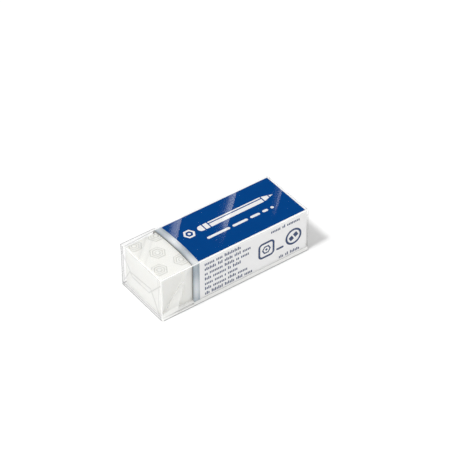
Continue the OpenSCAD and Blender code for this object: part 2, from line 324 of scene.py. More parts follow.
def near_wall_tones(film):
    """Painted highlight of a whiter wedge on the bare end's near wall, between a smooth step at its soft
    side, which widens downwards, and a short one at its sharp side, with painted shade as grey tones
    beside it, and painted light along the foot, a whitening that covers the shaded gap under the block,
    with its slit. Returns haze and line."""
    x, z = film.x, film.z
    wall = film.bare*film.near
    sharp = past_line(x, z, *WEDGE_SHARP)
    soft = past_line(x, z, *WEDGE_SOFT)
    wedge = ease(soft/(SOFT_WIDTH - SOFT_LOSS*z))*ease(0.5 - sharp/SHARP_WIDTH)
    wedge = wedge*(1 - WEDGE_LOSS*ease((z - WEDGE_LOSS_START)/WEDGE_LOSS_FADE))
    change = ease((x - TONE_CHANGE)/TONE_CHANGE_WIDTH)
    tone = WEDGE_LEFT_TONE + (WEDGE_RIGHT_TONE - WEDGE_LEFT_TONE)*change
    rim = WEDGE_RIM_TONE*bell((sharp - WEDGE_RIM_PLACE)/WEDGE_RIM_WIDTH)
    line = wall*(tone*(1 - wedge) + rim)*ease(film.margin[2]/NEAR_TONE_FADE)
    # Painted light along the foot, a whitening left clear in the slit.
    strength = SLIT_WEAK + (1 - SLIT_WEAK)*ease((x - SLIT_START)/SLIT_FADE)
    slit = film.bare*strength*bell((z - SLIT_HEIGHT)/SLIT_WIDTH)
    fade = ease((FOOT_TOP + FOOT_TOP_MORE*film.bare - z)/(FOOT_FADE + FOOT_FADE_MORE*film.bare))
    foot = FOOT_PAINTED_LIGHT*film.near_side*(1 - slit)*ease((z - FOOT_START)/FOOT_START_FADE)*fade
    return WEDGE_PAINTED_HIGHLIGHT*wall*wedge*ease((z - WEDGE_FOOT)/WEDGE_FOOT_FADE) + foot, line


def back_lap(film, settings):
    """Lap seam along the back: one more sheet, hazier, with a line on each of its edges. Returns
    height, haze and line."""
    wall = film.back*ease(film.margin[0]/2.5 - 0.4)
    inside = settings.seam_width/2/MM - np.abs(film.v)
    lap = wall*ease(0.5 + inside/LAP_STEP)
    return lap*settings.thickness/MM, LAP_HAZE*lap, LAP_LINE*wall*bell(inside/LAP_LINE_WIDTH)


def end_flaps(film, settings):
    """Envelope fold on both ends: an upper flap of one more sheet under a lower flap of two, hazier,
    with a line on their outlines, and painted shade as a faint grey over the bare end. Returns
    height, haze and line."""
    u, v = film.y, film.v
    _, half_u, half_v = film.flat
    corner = half_u - settings.tuck_inset/MM
    rise, overlap = settings.flap_rise/MM, settings.flap_overlap/MM
    lower = flap_depth(u, v, half_u, corner, -half_v, rise, FLAP_TILT)
    upper_corner = half_u - (half_u - corner)*(half_v + overlap - rise)/(half_v - rise)
    upper = flap_depth(u, v, half_u, upper_corner, half_v - FLAP_DROP, rise - overlap)
    on_lower, on_upper = ease(0.5 + lower/FLAP_STEP), ease(0.5 + upper/FLAP_STEP)
    height = film.ends*settings.thickness/MM*np.maximum(on_upper, 2*on_lower)
    haze_and_painted_light = FLAP_HAZE*film.ends*(on_upper + on_lower)
    upper_line = bell(upper/np.where(u > 0, UPPER_BACK_WIDTH, UPPER_WIDTH))
    line = FLAP_LINE*film.ends*np.maximum(bell(lower/LOWER_WIDTH), upper_line)
    return height, haze_and_painted_light, line + BARE_END_TONE*film.ends*ease(-film.x)


def edge_creases(film):
    """Lines on and beside the box's twelve edges, over which the film is drawn. By the bare end and
    along the near top the edges get a painted highlight, a whitening. Elsewhere a grey line lies on the
    edge, partly a crease and partly painted shade for the dark rim of the film's rounded edge, and a
    fainter one inside it is painted shade of the block's edge seen through the film. Returns haze and
    line."""
    x, y, v, margin = film.x, film.y, film.v, film.margin
    at_x, at_y, at_z = margin < EDGE_REACH
    at_top, at_foot = at_z & (v > 0), at_z & (v < 0)
    painted_highlight = np.maximum.reduce([
        UPRIGHT_HIGHLIGHT*((x < 0) & (y < 0) & at_x & at_y),
        NEAR_TOP_HIGHLIGHT*((y < 0) & at_y & at_top),
        END_TOP_HIGHLIGHT*((x < 0) & ~at_y & at_x & at_top)])
    past = np.maximum(np.sort(margin, axis=0)[1], 0)
    weight = np.where((x < 0) & at_x & at_foot, END_FOOT_CREASE, 1.0)
    weight *= np.where((y > 0) & at_top, 1 - SLEEVE_TOP_LOSS*ease((x - film.mouth)/2), 1)
    weight *= np.where((x > 0) & at_x, COVERED_CREASE, 1)
    far = (x < film.mouth) & (y > 0) & at_y & (at_x | at_top)
    crease = weight*(painted_highlight == 0)*bell(past/np.where(far, FAR_CREASE_WIDTH, CREASE_WIDTH))
    upright = END_INSET_LINE*film.ends*bell((margin[1] - END_INSET)/END_LINE_WIDTH)
    foot = END_FOOT_LINE*film.ends*(v < 0)*bell((margin[2] - END_FOOT_INSET)/END_LINE_WIDTH)
    inset = margin[1] - TOP_INSET - TOP_INSET_SLOPE*(film.mouth - x)
    far_top = TOP_INSET_LINE*film.bare*film.top*(y > 0)*bell(inset/TOP_LINE_WIDTH)
    line = np.maximum.reduce([crease, upright*np.where(y > 0, 1.0, END_INSET_NEAR), foot, far_top])
    return painted_highlight*bell(past/HIGHLIGHT_WIDTH), line


def film_relief(points, normal, settings):
    """Height of the film's folds over its plain box, with its haze, fold lines and pressed film, per
    point. The haze also holds painted light, and the lines also hold painted shade. The heights, the haze
    and the lines of the walls add up, and an edge's line covers a wall's weaker one. Returns four arrays:
    height in metres, and haze, line and pressed from 0 to 1."""
    film = FilmPoints(points, normal, settings)
    walls = np.array([top_folds(film, settings), back_lap(film, settings), end_flaps(film, settings)])
    height, haze_and_painted_light, line = walls.sum(axis=0)
    near_painted_light, near_painted_shade = near_wall_tones(film)
    edge_painted_highlight, edge_line = edge_creases(film)
    haze_and_painted_light = haze_and_painted_light + near_painted_light + edge_painted_highlight
    line = np.maximum(line + near_painted_shade, edge_line)
    # Under the object the film is pressed flat on what carries it. It clings to the near wall, where
    # only its outer face mirrors.
    pressed = np.maximum(ease(-normal[:, 2]/0.3 - 2), 0.5*ease(-normal[:, 1]/0.3 - 2))
    return height*MM, np.clip(haze_and_painted_light, 0, 1), np.clip(line, 0, 1), pressed


def drawn_in(points, half, settings):
    """How far the film is drawn in from its plain box about the origin, per point, in metres.

    Over the sleeve, the far top edge and the covered end's edges round to the card's fold: a point is
    brought to a larger rounding's surface along the line to that rounding's middle. At the near foot the
    film flares, by a round peak of the height."""
    x, y, z = points.T/MM
    middle = np.clip(points, settings.fold_radius - half, half - settings.fold_radius)
    out = points - middle
    reach = np.linalg.norm(out, axis=1)
    over = np.clip(1 - settings.fold_radius/np.maximum(reach, 1e-9), 0, 1)
    covered = ease(x - COVERED_START)*ease((y - DRAWN_NEAR)/DRAWN_NEAR_FADE)
    share = ease(x - BAND_LOW[0]/MM)*np.maximum(ease(y), covered)*ease(z - DRAWN_LOW)
    moved = -out*(over*share)[:, None]
    flare = bell((z + half[2]/MM)/FLARE_HEIGHT)*ease((FLARE_NEAR - y)/FLARE_FADE)
    moved[:, 1] -= settings.foot_flare*flare
    return moved


def floor_sheet(half, step_count):
    """Flat square grid at height 0 over the floor: x and y run evenly from -half to half."""
    ticks = np.linspace(-half, half, step_count + 1)
    x, y = np.meshgrid(ticks, ticks, indexing="ij")
    points = np.stack([x, y, np.zeros_like(x)], -1).reshape(-1, 3)
    return points, grid_faces(*x.shape)


def make_object(name, points, faces, material, attributes=None):
    """Mesh object at the origin with smooth faces, one material and float attributes per point."""
    mesh = bpy.data.meshes.new(name)
    mesh.from_pydata(points, [], faces)
    mesh.polygons.foreach_set("use_smooth", np.ones(len(faces), bool))
    for key, values in (attributes or {}).items():
        mesh.attributes.new(key, "FLOAT", "POINT").data.foreach_set("value", values.astype(np.float32))
    mesh.materials.append(material)
    mesh.validate()
    piece = bpy.data.objects.new(name, mesh)
    bpy.context.scene.collection.objects.link(piece)
    return piece


# Materials

def srgb(text):
    """Three sRGB numbers to 1 from "#RRGGBB"."""
    return [int(text[i:i + 2], 16)/255 for i in (1, 3, 5)]


def linear(colour):
    """Linear colour with alpha 1 from an sRGB one, given as "#RRGGBB" or as three numbers to 1."""
    if isinstance(colour, str):
        colour = srgb(colour)
    return [c/12.92 if c <= 0.04045 else ((c + 0.055)/1.055)**2.4 for c in colour] + [1.0]


def add(tree, kind, inputs=None, **settings):
    """Adds a node of one kind, named without ShaderNode. inputs are its sockets by name or number, each
    with a value or with the node or output that feeds it, and settings are its own values by name."""
    node = tree.nodes.new("ShaderNode" + kind)
    for key, value in settings.items():
        setattr(node, key, value)
    for key, value in (inputs or {}).items():
        if isinstance(value, bpy.types.Node):
            value = value.outputs[0]
        if isinstance(value, bpy.types.NodeSocket):
            tree.links.new(value, node.inputs[key])
        else:
            node.inputs[key].default_value = value
    return node


def new_material(name):
    """Empty node material and its tree."""
    material = bpy.data.materials.new(name)
    material.use_nodes = True
    material.node_tree.nodes.clear()
    return material, material.node_tree


def moulded_vinyl(colours):
    """Plasticised PVC, pressed in a mould and tumbled in talc: matte, faintly warm white, and light enters
    a fraction of a millimetre. Its rounded edges carry a painted highlight that makes them lighter, and
    a painted shade line darkens the foot of the raised figures."""
    material, tree = new_material("moulded white vinyl")
    place = add(tree, "TexCoord").outputs["Object"]
    # Soft clouds about 5 mm across, and a powdery grain of 0.25 mm, drawn coarser than the real talc
    clouds = add(tree, "TexNoise", {"Vector": place, "Scale": 1/(5*MM), "Detail": 2.0})
    grain = add(tree, "TexNoise", {"Vector": place, "Scale": 1/(0.25*MM), "Detail": 3.0})
    body = add(tree, "Mix", {0: clouds, 6: linear(colours.vinyl), 7: linear("#EBEBE7")},
               data_type="RGBA").outputs[2]
    foot_shade, glow = 0.62, 0.4  # strength of the painted shade along a figure's foot, and of the painted highlight on a rim
    # Painted shade: the foot attribute mixes a grey line into the white along each figure's foot.
    foot = add(tree, "Attribute", attribute_name="foot").outputs["Fac"]
    foot = add(tree, "Math", {0: foot, 1: foot_shade}, operation="MULTIPLY")
    foot_shaded = add(tree, "Mix", {0: foot, 6: body, 7: linear("#8E8E87")}, data_type="RGBA").outputs[2]
    # Painted highlight: the rim attribute mixes the rounded edges towards white.
    rim = add(tree, "Attribute", attribute_name="rim").outputs["Fac"]
    rim = add(tree, "Math", {0: rim, 1: glow}, operation="MULTIPLY")
    tone = add(tree, "Mix", {0: rim, 6: foot_shaded, 7: linear("#FFFFFF")}, data_type="RGBA").outputs[2]
    rough = add(tree, "MapRange", {"Value": grain, "To Min": 0.5, "To Max": 0.7})
    bump = add(tree, "Bump", {"Strength": 0.35, "Distance": 0.03*MM, "Height": grain})
    surface = add(tree, "BsdfPrincipled", {"Base Color": tone, "Roughness": rough, "IOR": 1.53,
                                           "Normal": bump, "Subsurface Weight": 0.15,
                                           "Subsurface Radius": (1.0, 0.9, 0.75),
                                           "Subsurface Scale": 0.4*MM})
    add(tree, "OutputMaterial", {"Surface": surface})
    return material


def coated_card(colours):
    """Bleached board, clay coated on its printed side and die cut: smooth satin white with a faint
    fibre mottle, and duller, warmer fibre where the cut shows at the mouth and the covered end. The cut
    is painted darker than its fibre, as painted shade of the gap between the card and the block."""
    material, tree = new_material("coated white card")
    coordinates = add(tree, "TexCoord")
    place = coordinates.outputs["Object"]
    # Fibres lie mostly along the sheet: 1.2 mm long and 0.15 mm wide
    along = add(tree, "Mapping", {"Vector": place, "Scale": (1/1.2, 1/0.15, 1/0.15)})
    fibre = add(tree, "TexNoise", {"Vector": along, "Scale": 1/MM, "Detail": 3.0})
    mottle = add(tree, "TexNoise", {"Vector": place, "Scale": 1/(2.5*MM), "Detail": 2.0})
    coat = add(tree, "Mix", {0: mottle, 6: linear(colours.card), 7: linear("#EBEBEB")},
               data_type="RGBA").outputs[2]
    facing = add(tree, "SeparateXYZ", {0: coordinates.outputs["Normal"]}).outputs["X"]
    cut = add(tree, "Math", {0: facing}, operation="ABSOLUTE")
    cut = add(tree, "MapRange", {"Value": cut, "From Min": 0.6, "From Max": 0.9})
    # Cut fibre in dark greys: partly its own duller colour, partly painted shade of the gap at the mouth.
    shaded_cut_fibre = add(tree, "Mix", {0: fibre, 6: linear("#65635F"), 7: linear("#83807A")},
              data_type="RGBA").outputs[2]
    # The blue print of the top runs a little way round the fold behind it.
    axes = add(tree, "SeparateXYZ", {0: place})
    bleed = None
    for axis, low, high in (("X", BLUE_LOW[0] + BLUE_SAG, BLUE_HIGH[0]),
                            ("Y", BLUE_HIGH[1] - 0.1*MM, BLUE_HIGH[1] + 0.26*MM),
                            ("Z", BLUE_LOW[2] - 0.3*MM, BLUE_HIGH[2])):
        middle, reach = float(low + high)/2, float(high - low)/2
        side = add(tree, "Math", {0: axes.outputs[axis], 1: middle, 2: reach}, operation="COMPARE")
        bleed = side if bleed is None else add(tree, "Math", {0: bleed, 1: side}, operation="MULTIPLY")
    coat = add(tree, "Mix", {0: bleed, 6: coat, 7: linear(colours.blue)}, data_type="RGBA").outputs[2]
    colour = add(tree, "Mix", {0: cut, 6: coat, 7: shaded_cut_fibre}, data_type="RGBA").outputs[2]
    rough = add(tree, "MapRange", {"Value": cut, "To Min": 0.42, "To Max": 0.9})
    bump = add(tree, "Bump", {"Strength": 0.25, "Distance": 0.012*MM, "Height": fibre})
    surface = add(tree, "BsdfPrincipled", {"Base Color": colour, "Roughness": rough, "IOR": 1.5,
                                           "Normal": bump})
    add(tree, "OutputMaterial", {"Surface": surface})
    return material


def silver_ink(colours):
    """Offset ink with aluminium flakes on coated card: cool grey, mostly paint with a weak mirror, and
    a fine sparkle of flakes. The middle of the band is painted lighter as a painted sheen, soft painted
    sheen bands lie along it, its narrow walls are painted darker than its top, and painted shade
    darkens it at the mouth."""
    material, tree = new_material("silver flake ink")
    coordinates = add(tree, "TexCoord")
    place = coordinates.outputs["Object"]
    axes = add(tree, "SeparateXYZ", {0: place})
    # The band bows along X by its sag at Y = 0, which is taken out before its middle is found.
    half_y = float(BAND_HIGH[1])
    share = add(tree, "Math", {0: axes.outputs["Y"], 1: half_y}, operation="DIVIDE")
    square = add(tree, "Math", {0: share, 1: share}, operation="MULTIPLY")
    bow = add(tree, "Math", {0: square, 1: -BAND_SAG, 2: BAND_SAG}, operation="MULTIPLY_ADD")
    straight = add(tree, "Math", {0: axes.outputs["X"], 1: bow}, operation="SUBTRACT")
    middle = float(BAND_LOW[0] + BAND_WIDTH/2)
    off = add(tree, "Math", {0: straight, 1: middle}, operation="SUBTRACT")
    off = add(tree, "Math", {0: off}, operation="ABSOLUTE")
    # Painted sheen: lighter towards the band's middle.
    middle_sheen = add(tree, "MapRange", {"Value": off, "From Min": 0.15*MM, "From Max": 0.9*MM, "To Min": 0.25,
                                   "To Max": 0.0}, interpolation_type="SMOOTHSTEP")
    # Painted sheen in soft light bands. Over the narrow walls, by height, and over the broad ones, by
    # depth, each has its first light band, spacing and mean. The narrow walls' lower mean is painted shade
    # that keeps them darker than the top.
    broad = add(tree, "SeparateXYZ", {0: coordinates.outputs["Normal"]}).outputs["Z"]
    broad = add(tree, "Math", {0: broad}, operation="ABSOLUTE")
    waves, depth = [], 0.25
    for axis, first, spacing, mean in (("Z", 4.7*MM, 11.4*MM, 0.13), ("Y", 1.4*MM, 8.5*MM, 0.41)):
        turn = add(tree, "Math", {0: axes.outputs[axis], 1: first}, operation="SUBTRACT")
        turn = add(tree, "Math", {0: turn, 1: 2*math.pi/spacing}, operation="MULTIPLY")
        sheen_band = add(tree, "Math", {0: turn}, operation="COSINE")
        waves.append(add(tree, "Math", {0: sheen_band, 1: depth, 2: mean}, operation="MULTIPLY_ADD"))
    sheen_band = add(tree, "Mix", {0: broad, 2: waves[0], 3: waves[1]}, data_type="FLOAT")
    light = add(tree, "Math", {0: sheen_band, 1: middle_sheen}, operation="ADD", use_clamp=True)
    # Flakes are about 0.02 mm, far too fine to show, and are drawn at 0.12 mm.
    flakes = add(tree, "TexVoronoi", {"Vector": place, "Scale": 1/(0.12*MM)})
    tone = add(tree, "Mix", {0: light, 6: linear(colours.silver), 7: linear("#EAEDEF")},
               data_type="RGBA").outputs[2]
    sparkle = add(tree, "Mix", {0: 0.25, 6: tone, 7: flakes.outputs["Color"]}, data_type="RGBA",
                  blend_type="SOFT_LIGHT").outputs[2]
    # At the mouth the ink is painted darker over a quarter of a millimetre, as painted shade of the gap
    # between the card and the block.
    mouth_shade = add(tree, "MapRange", {"Value": straight, "From Min": float(BAND_LOW[0]) + 0.1*MM,
                                     "From Max": float(BAND_LOW[0]) + 0.35*MM, "To Min": 0.6,
                                     "To Max": 1.0})
    hue = add(tree, "HueSaturation", {"Saturation": 0.8, "Color": sparkle, "Value": mouth_shade})
    bump = add(tree, "Bump", {"Strength": 0.2, "Distance": 0.01*MM, "Height": flakes.outputs["Distance"]})
    surface = add(tree, "BsdfPrincipled", {"Base Color": hue, "Metallic": 0.15, "Roughness": 0.38,
                                           "Normal": bump})
    add(tree, "OutputMaterial", {"Surface": surface})
    return material


def printed_ink(name, colour, second, gloss):
    """Offset ink on coated card: a thin even film that follows the card's fine grain. Its density
    drifts a little over millimetres and speckles where a fibre shows through."""
    material, tree = new_material(name)
    place = add(tree, "TexCoord").outputs["Object"]
    drift = add(tree, "TexNoise", {"Vector": place, "Scale": 1/(3*MM), "Detail": 2.0})
    speck = add(tree, "TexNoise", {"Vector": place, "Scale": 1/(0.18*MM), "Detail": 2.0})
    speck_share = 0.35
    density = add(tree, "Math", {0: speck, 1: speck_share}, operation="MULTIPLY")
    density = add(tree, "Math", {0: drift, 1: 1 - speck_share, 2: density}, operation="MULTIPLY_ADD")
    density = add(tree, "MapRange", {"Value": density, "From Min": 0.3, "From Max": 0.7})
    tone = add(tree, "Mix", {0: density, 6: linear(colour), 7: linear(second)},
               data_type="RGBA").outputs[2]
    rough = add(tree, "MapRange", {"Value": speck, "To Min": gloss - 0.03, "To Max": gloss + 0.03})
    bump = add(tree, "Bump", {"Strength": 0.1, "Distance": 0.005*MM, "Height": speck})
    surface = add(tree, "BsdfPrincipled", {"Base Color": tone, "Roughness": rough, "IOR": 1.45,
                                           "Specular IOR Level": 0.3, "Normal": bump})
    add(tree, "OutputMaterial", {"Surface": surface})
    return material


def clear_film(colours, settings):
    """Stretched polypropylene film, 0.05 mm: clear and very glossy, with a mirror image that grows
    towards grazing views. Folds whiten where the film is stressed, and laps and creases show as thin
    grey lines. The same whitening also paints light, as highlights on edges and a wedge and as a cover
    over the shade at the near foot, and the same grey also paints shade, as tones, dark edge rims and
    the block's edges seen through.

    One face of the film mirrors F = 0.02 + 0.98 times (1 - cosine of the angle of view) to the fifth
    power of the light, less than plain polypropylene's 0.04, as matched to the photographed shine. The
    two faces together mirror 2F/(1 + F), and film that is pressed on a table hardly mirrors."""
    material, tree = new_material("clear polypropylene film")
    place = add(tree, "TexCoord").outputs["Object"]
    # Slack in the film makes waves about 6 mm long.
    waves = add(tree, "TexNoise", {"Vector": place, "Scale": 1/(6*MM), "Detail": 1.0})
    bump = add(tree, "Bump", {"Strength": 0.12, "Distance": 0.05*MM, "Height": waves})
    facing = add(tree, "LayerWeight", {"Blend": 0.5}).outputs["Facing"]
    fifth = add(tree, "Math", {0: facing, 1: 5.0}, operation="POWER")
    straight_on = 0.02
    face = add(tree, "Math", {0: fifth, 1: 1 - straight_on, 2: straight_on}, operation="MULTIPLY_ADD")
    double = add(tree, "Math", {0: face, 1: 2.0}, operation="MULTIPLY")
    both = add(tree, "Math", {0: face, 1: 1.0}, operation="ADD")
    mirror = add(tree, "Math", {0: double, 1: both}, operation="DIVIDE")
    pressed = add(tree, "Attribute", attribute_name="pressed").outputs["Fac"]
    free = add(tree, "Math", {0: 1.0, 1: pressed}, operation="SUBTRACT")
    mirror = add(tree, "Math", {0: mirror, 1: free}, operation="MULTIPLY")
    through = add(tree, "BsdfTransparent", {"Color": linear(colours.film)})
    gloss = add(tree, "BsdfGlossy", {"Color": (1, 1, 1, 1), "Roughness": 0.06, "Normal": bump})
    clear = add(tree, "MixShader", {0: mirror, 1: through, 2: gloss})
    haze_and_painted_light = add(tree, "Attribute", attribute_name="haze_and_painted_light").outputs["Fac"]
    haze_and_painted_light = add(tree, "Math", {0: haze_and_painted_light, 1: settings.haze_and_painted_light}, operation="MULTIPLY")
    # The whitening, of stressed folds and of painted light, throws three quarters of the light back and
    # lets a quarter through.
    whitened = linear("#FCFCFA")
    shone = add(tree, "BsdfDiffuse", {"Color": whitened})
    passed = add(tree, "BsdfTranslucent", {"Color": whitened})
    white = add(tree, "MixShader", {0: 0.25, 1: shone, 2: passed})
    hazy = add(tree, "MixShader", {0: haze_and_painted_light, 1: clear, 2: white})
    # The grey of the fold lines, which also paints shade: tones, dark edge rims and the block's edges seen
    # through the film.
    line = add(tree, "Attribute", attribute_name="line").outputs["Fac"]
    line = add(tree, "Math", {0: line, 1: settings.fold_grey}, operation="MULTIPLY")
    grey = add(tree, "BsdfDiffuse", {"Color": linear("#818284")})
    surface = add(tree, "MixShader", {0: line, 1: hazy, 2: grey})
    add(tree, "OutputMaterial", {"Surface": surface})
    return material


def white_sweep(settings):
    """Matte white laminate of a product table. It takes the object's shadow, and a little glow that
    only the camera and mirrors see keeps it white to the horizon."""
    material, tree = new_material("white product table")
    place = add(tree, "TexCoord").outputs["Object"]
    grain = add(tree, "TexNoise", {"Vector": place, "Scale": 1/(1.5*MM), "Detail": 2.0})
    tone = add(tree, "Mix", {0: grain, 6: linear(settings.floor), 7: linear("#F2F2F2")},
               data_type="RGBA").outputs[2]
    matte = add(tree, "BsdfDiffuse", {"Color": tone})
    path = add(tree, "LightPath")
    seen = add(tree, "Math", {0: path.outputs["Is Camera Ray"], 1: path.outputs["Is Glossy Ray"]},
               operation="ADD")
    seen = add(tree, "Math", {0: seen, 1: path.outputs["Is Transmission Ray"]}, operation="ADD",
               use_clamp=True)
    glow = add(tree, "Math", {0: seen, 1: settings.floor_glow}, operation="MULTIPLY")
    glow = add(tree, "Emission", {"Color": (1, 1, 1, 1), "Strength": glow})
    surface = add(tree, "AddShader", {0: matte, 1: glow})
    add(tree, "OutputMaterial", {"Surface": surface})
    return material


def studio_room(settings):
    """World of a small studio: an even soft light on every surface, and white wherever the camera
    looks past the table. Mirrors see a dim room with four tall soft lamps round the table.

    A lamp's strength is a smooth step of the azimuth from its middle, times a smooth step of the
    height of the line of sight at its foot and one at its top."""
    world = bpy.data.worlds.new("studio room")
    bpy.context.scene.world = world
    world.use_nodes = True
    # Lamps that only mirrors see must not be sampled as light on matte surfaces.
    world.cycles.sampling_method = "NONE"
    tree = world.node_tree
    tree.nodes.clear()
    way = add(tree, "SeparateXYZ", {0: add(tree, "TexCoord").outputs["Generated"]})
    azimuth = add(tree, "Math", {0: way.outputs["Y"], 1: way.outputs["X"]}, operation="ARCTAN2")
    quarter = math.pi/2
    turned = add(tree, "Math", {0: azimuth, 1: settings.lamp_azimuth - quarter/2}, operation="SUBTRACT")
    turned = add(tree, "Math", {0: turned, 1: quarter}, operation="FLOORED_MODULO")
    off = add(tree, "Math", {0: turned, 1: quarter/2}, operation="SUBTRACT")
    off = add(tree, "Math", {0: off}, operation="ABSOLUTE")
    across = add(tree, "MapRange", {"Value": off, "From Min": settings.lamp_width/2,
                                    "From Max": settings.lamp_width, "To Min": 1.0, "To Max": 0.0},
                 interpolation_type="SMOOTHSTEP")
    low = add(tree, "MapRange", {"Value": way.outputs["Z"], "From Min": 0.36, "From Max": 0.46},
              interpolation_type="SMOOTHSTEP")
    high = add(tree, "MapRange", {"Value": way.outputs["Z"], "From Min": 0.8, "From Max": 0.9,
                                  "To Min": 1.0, "To Max": 0.0}, interpolation_type="SMOOTHSTEP")
    tall = add(tree, "Math", {0: low, 1: high}, operation="MULTIPLY")
    lamp = add(tree, "Math", {0: across, 1: tall}, operation="MULTIPLY")
    lamp = add(tree, "Math", {0: lamp, 1: settings.lamp_strength}, operation="MULTIPLY")
    dim = add(tree, "MapRange", {"Value": way.outputs["Z"], "From Min": 0.03, "From Max": 0.35,
                                 "To Min": 1.0, "To Max": settings.room_dim},
              interpolation_type="SMOOTHSTEP")
    mirrored = add(tree, "Math", {0: dim, 1: lamp}, operation="ADD")
    path = add(tree, "LightPath")
    lit = add(tree, "Mix", {0: path.outputs["Is Glossy Ray"], 2: settings.room_light, 3: mirrored},
              data_type="FLOAT")
    seen = add(tree, "Math", {0: path.outputs["Is Camera Ray"], 1: path.outputs["Is Transmission Ray"]},
               operation="MAXIMUM")
    strength = add(tree, "Mix", {0: seen, 2: lit, 3: 1.0}, data_type="FLOAT")
    background = add(tree, "Background", {"Color": (1, 1, 1, 1), "Strength": strength})
    add(tree, "OutputWorld", {"Surface": background})


# Settings

def length(name, description, default):
    """Length property in metres."""
    return bpy.props.FloatProperty(name=name, description=description, default=default, min=0.0,
                                   unit="LENGTH", precision=6)


def amount(name, description, default, **limits):
    """Plain number from 0 up."""
    return bpy.props.FloatProperty(name=name, description=description, default=default, min=0.0, **limits)


def angle(name, description, degrees):
    """Angle property, given here in degrees."""
    return bpy.props.FloatProperty(name=name, description=description, default=math.radians(degrees),
                                   unit="ROTATION")


def colour(name, description, default):
    """Colour property, kept as sRGB numbers."""
    return bpy.props.FloatVectorProperty(
        name=name, description=description, subtype="COLOR_GAMMA", size=3, min=0.0, max=1.0,
        default=srgb(default))


class BlockSettings(bpy.types.PropertyGroup):
    edge_radius: length("Edge rounding", "Rounding of the block's edges", 0.35*MM)
    relief: length("Relief", "Height of the raised figures", 0.1*MM)
    figure_size: length("Figure size", "Size of a figure across its corners", 3.8*MM)
    figure_line: length("Figure line", "Width of the ring that outlines a figure", 0.5*MM)
    figure_dot: length("Figure dot", "Diameter of the dot in a figure's middle", 1.1*MM)
    figure_soft: length("Figure flank", "Width over which a figure's flank rises", 0.16*MM)
    figure_start: length("Figure start", "From the bare end to the first figure's middle", 1.9*MM)
    figure_pitch: length("Figure pitch", "Spacing of the figures along a row", 6.2*MM)
    row_pitch: length("Row pitch", "Spacing of the rows across the block", 5.2*MM)
    row_shift: length("Row shift", "From the block's middle line to the middle row", 1.1*MM)


class FilmSettings(bpy.types.PropertyGroup):
    thickness: length("Thickness", "Thickness of the film", 0.05*MM)
    edge_radius: length("Edge rounding", "Rounding of the wrap's edges", 0.12*MM)
    fold_radius: length("Drawn edge", "Rounding where the film is drawn round the card", 0.45*MM)
    foot_flare: length("Foot flare", "How far the film stands out at the near foot", 0.3*MM)
    spacing: length("Spacing", "Spacing of the film's grid", 0.2*MM)
    slack: length("Slack", "How far the loose film stands off the tight wrap", 0.1*MM)
    seam_width: length("Lap seam", "Width of the lap seam along the back", 5*MM)
    flap_rise: length("Flap rise", "How far the lower end flap passes the middle", 0.6*MM)
    flap_overlap: length("Flap overlap", "Overlap of the two end flaps", 1.3*MM)
    tuck_inset: length("Tuck inset", "From the wrap's side to a flap's corner", 3.8*MM)
    crease_slope: amount("Crease slope", "Steepness of the creases, 1 as photographed", 1.0)
    haze_and_painted_light: amount("Haze", "How white a stressed fold looks", 1.0, max=1.0, subtype="FACTOR")
    fold_grey: amount("Fold grey", "How grey a fold line looks", 0.85, max=1.0, subtype="FACTOR")


class ColourSettings(bpy.types.PropertyGroup):
    vinyl: colour("Vinyl", "White of the block", "#EEEEEA")
    card: colour("Card", "White of the coated card", "#E8E7E7")
    silver: colour("Silver", "Darker parts of the silver band", "#8A9BA8")
    blue: colour("Blue", "Blue of the broad walls", "#003F82")
    dark_blue: colour("Dark blue", "Blue of the small print", "#062C5A")
    film: colour("Film", "Tint of the clear film", "#FEFEFE")


class StageSettings(bpy.types.PropertyGroup):
    floor: colour("Floor", "White of the table", "#F0F0F0")
    floor_half: length("Floor reach", "From the middle of the table to its edge", 3.0)
    floor_glow: amount("Floor glow", "Light that keeps the table white to the camera", 0.01)
    room_light: amount("Room light", "Even light from all round", 0.66)
    room_dim: amount("Room in mirrors", "How bright the upper room looks in a mirror", 0.02)
    lamp_strength: amount("Lamps in mirrors", "How bright the tall lamps look in a mirror", 2.4)
    lamp_azimuth: angle("Lamp azimuth", "Direction of the first tall lamp from +X", 63.5)
    lamp_width: angle("Lamp width", "Width of a tall lamp, seen from the table", 6)
    key_strength: amount("Key light", "Strength of the key light", 1.87)
    key_elevation: angle("Key elevation", "Height of the key light", 60)
    key_azimuth: angle("Key azimuth", "Direction of the key light from +X", 180)
    key_spread: angle("Key spread", "How wide the key light looks from the table", 9)
    fill_strength: amount("Fill light", "Strength of the low light from the front", 0.45)
    fill_elevation: angle("Fill elevation", "Height of the fill light", 15)
    fill_azimuth: angle("Fill azimuth", "Direction of the fill light from +X", -90)
    fill_spread: angle("Fill spread", "How wide the fill light looks from the table", 40)
    view_azimuth: angle("View azimuth", "Camera's turn from the front", -35.63)
    view_elevation: angle("View elevation", "Camera's height", 40.98)
    view_roll: angle("View roll", "Camera's turn about its line of sight", -0.616)
    view_distance: length("View distance", "From the camera to the object's middle", 508.4*MM)
    lens: bpy.props.FloatProperty(name="Lens", default=168.0, min=1.0, unit="CAMERA",
                                  description="Focal length over a sensor 36 mm wide")
    shift: bpy.props.FloatVectorProperty(name="Shift", default=(0.0292, 0.0382), size=2,
                                         description="Camera shift that frames the object")


# Operators

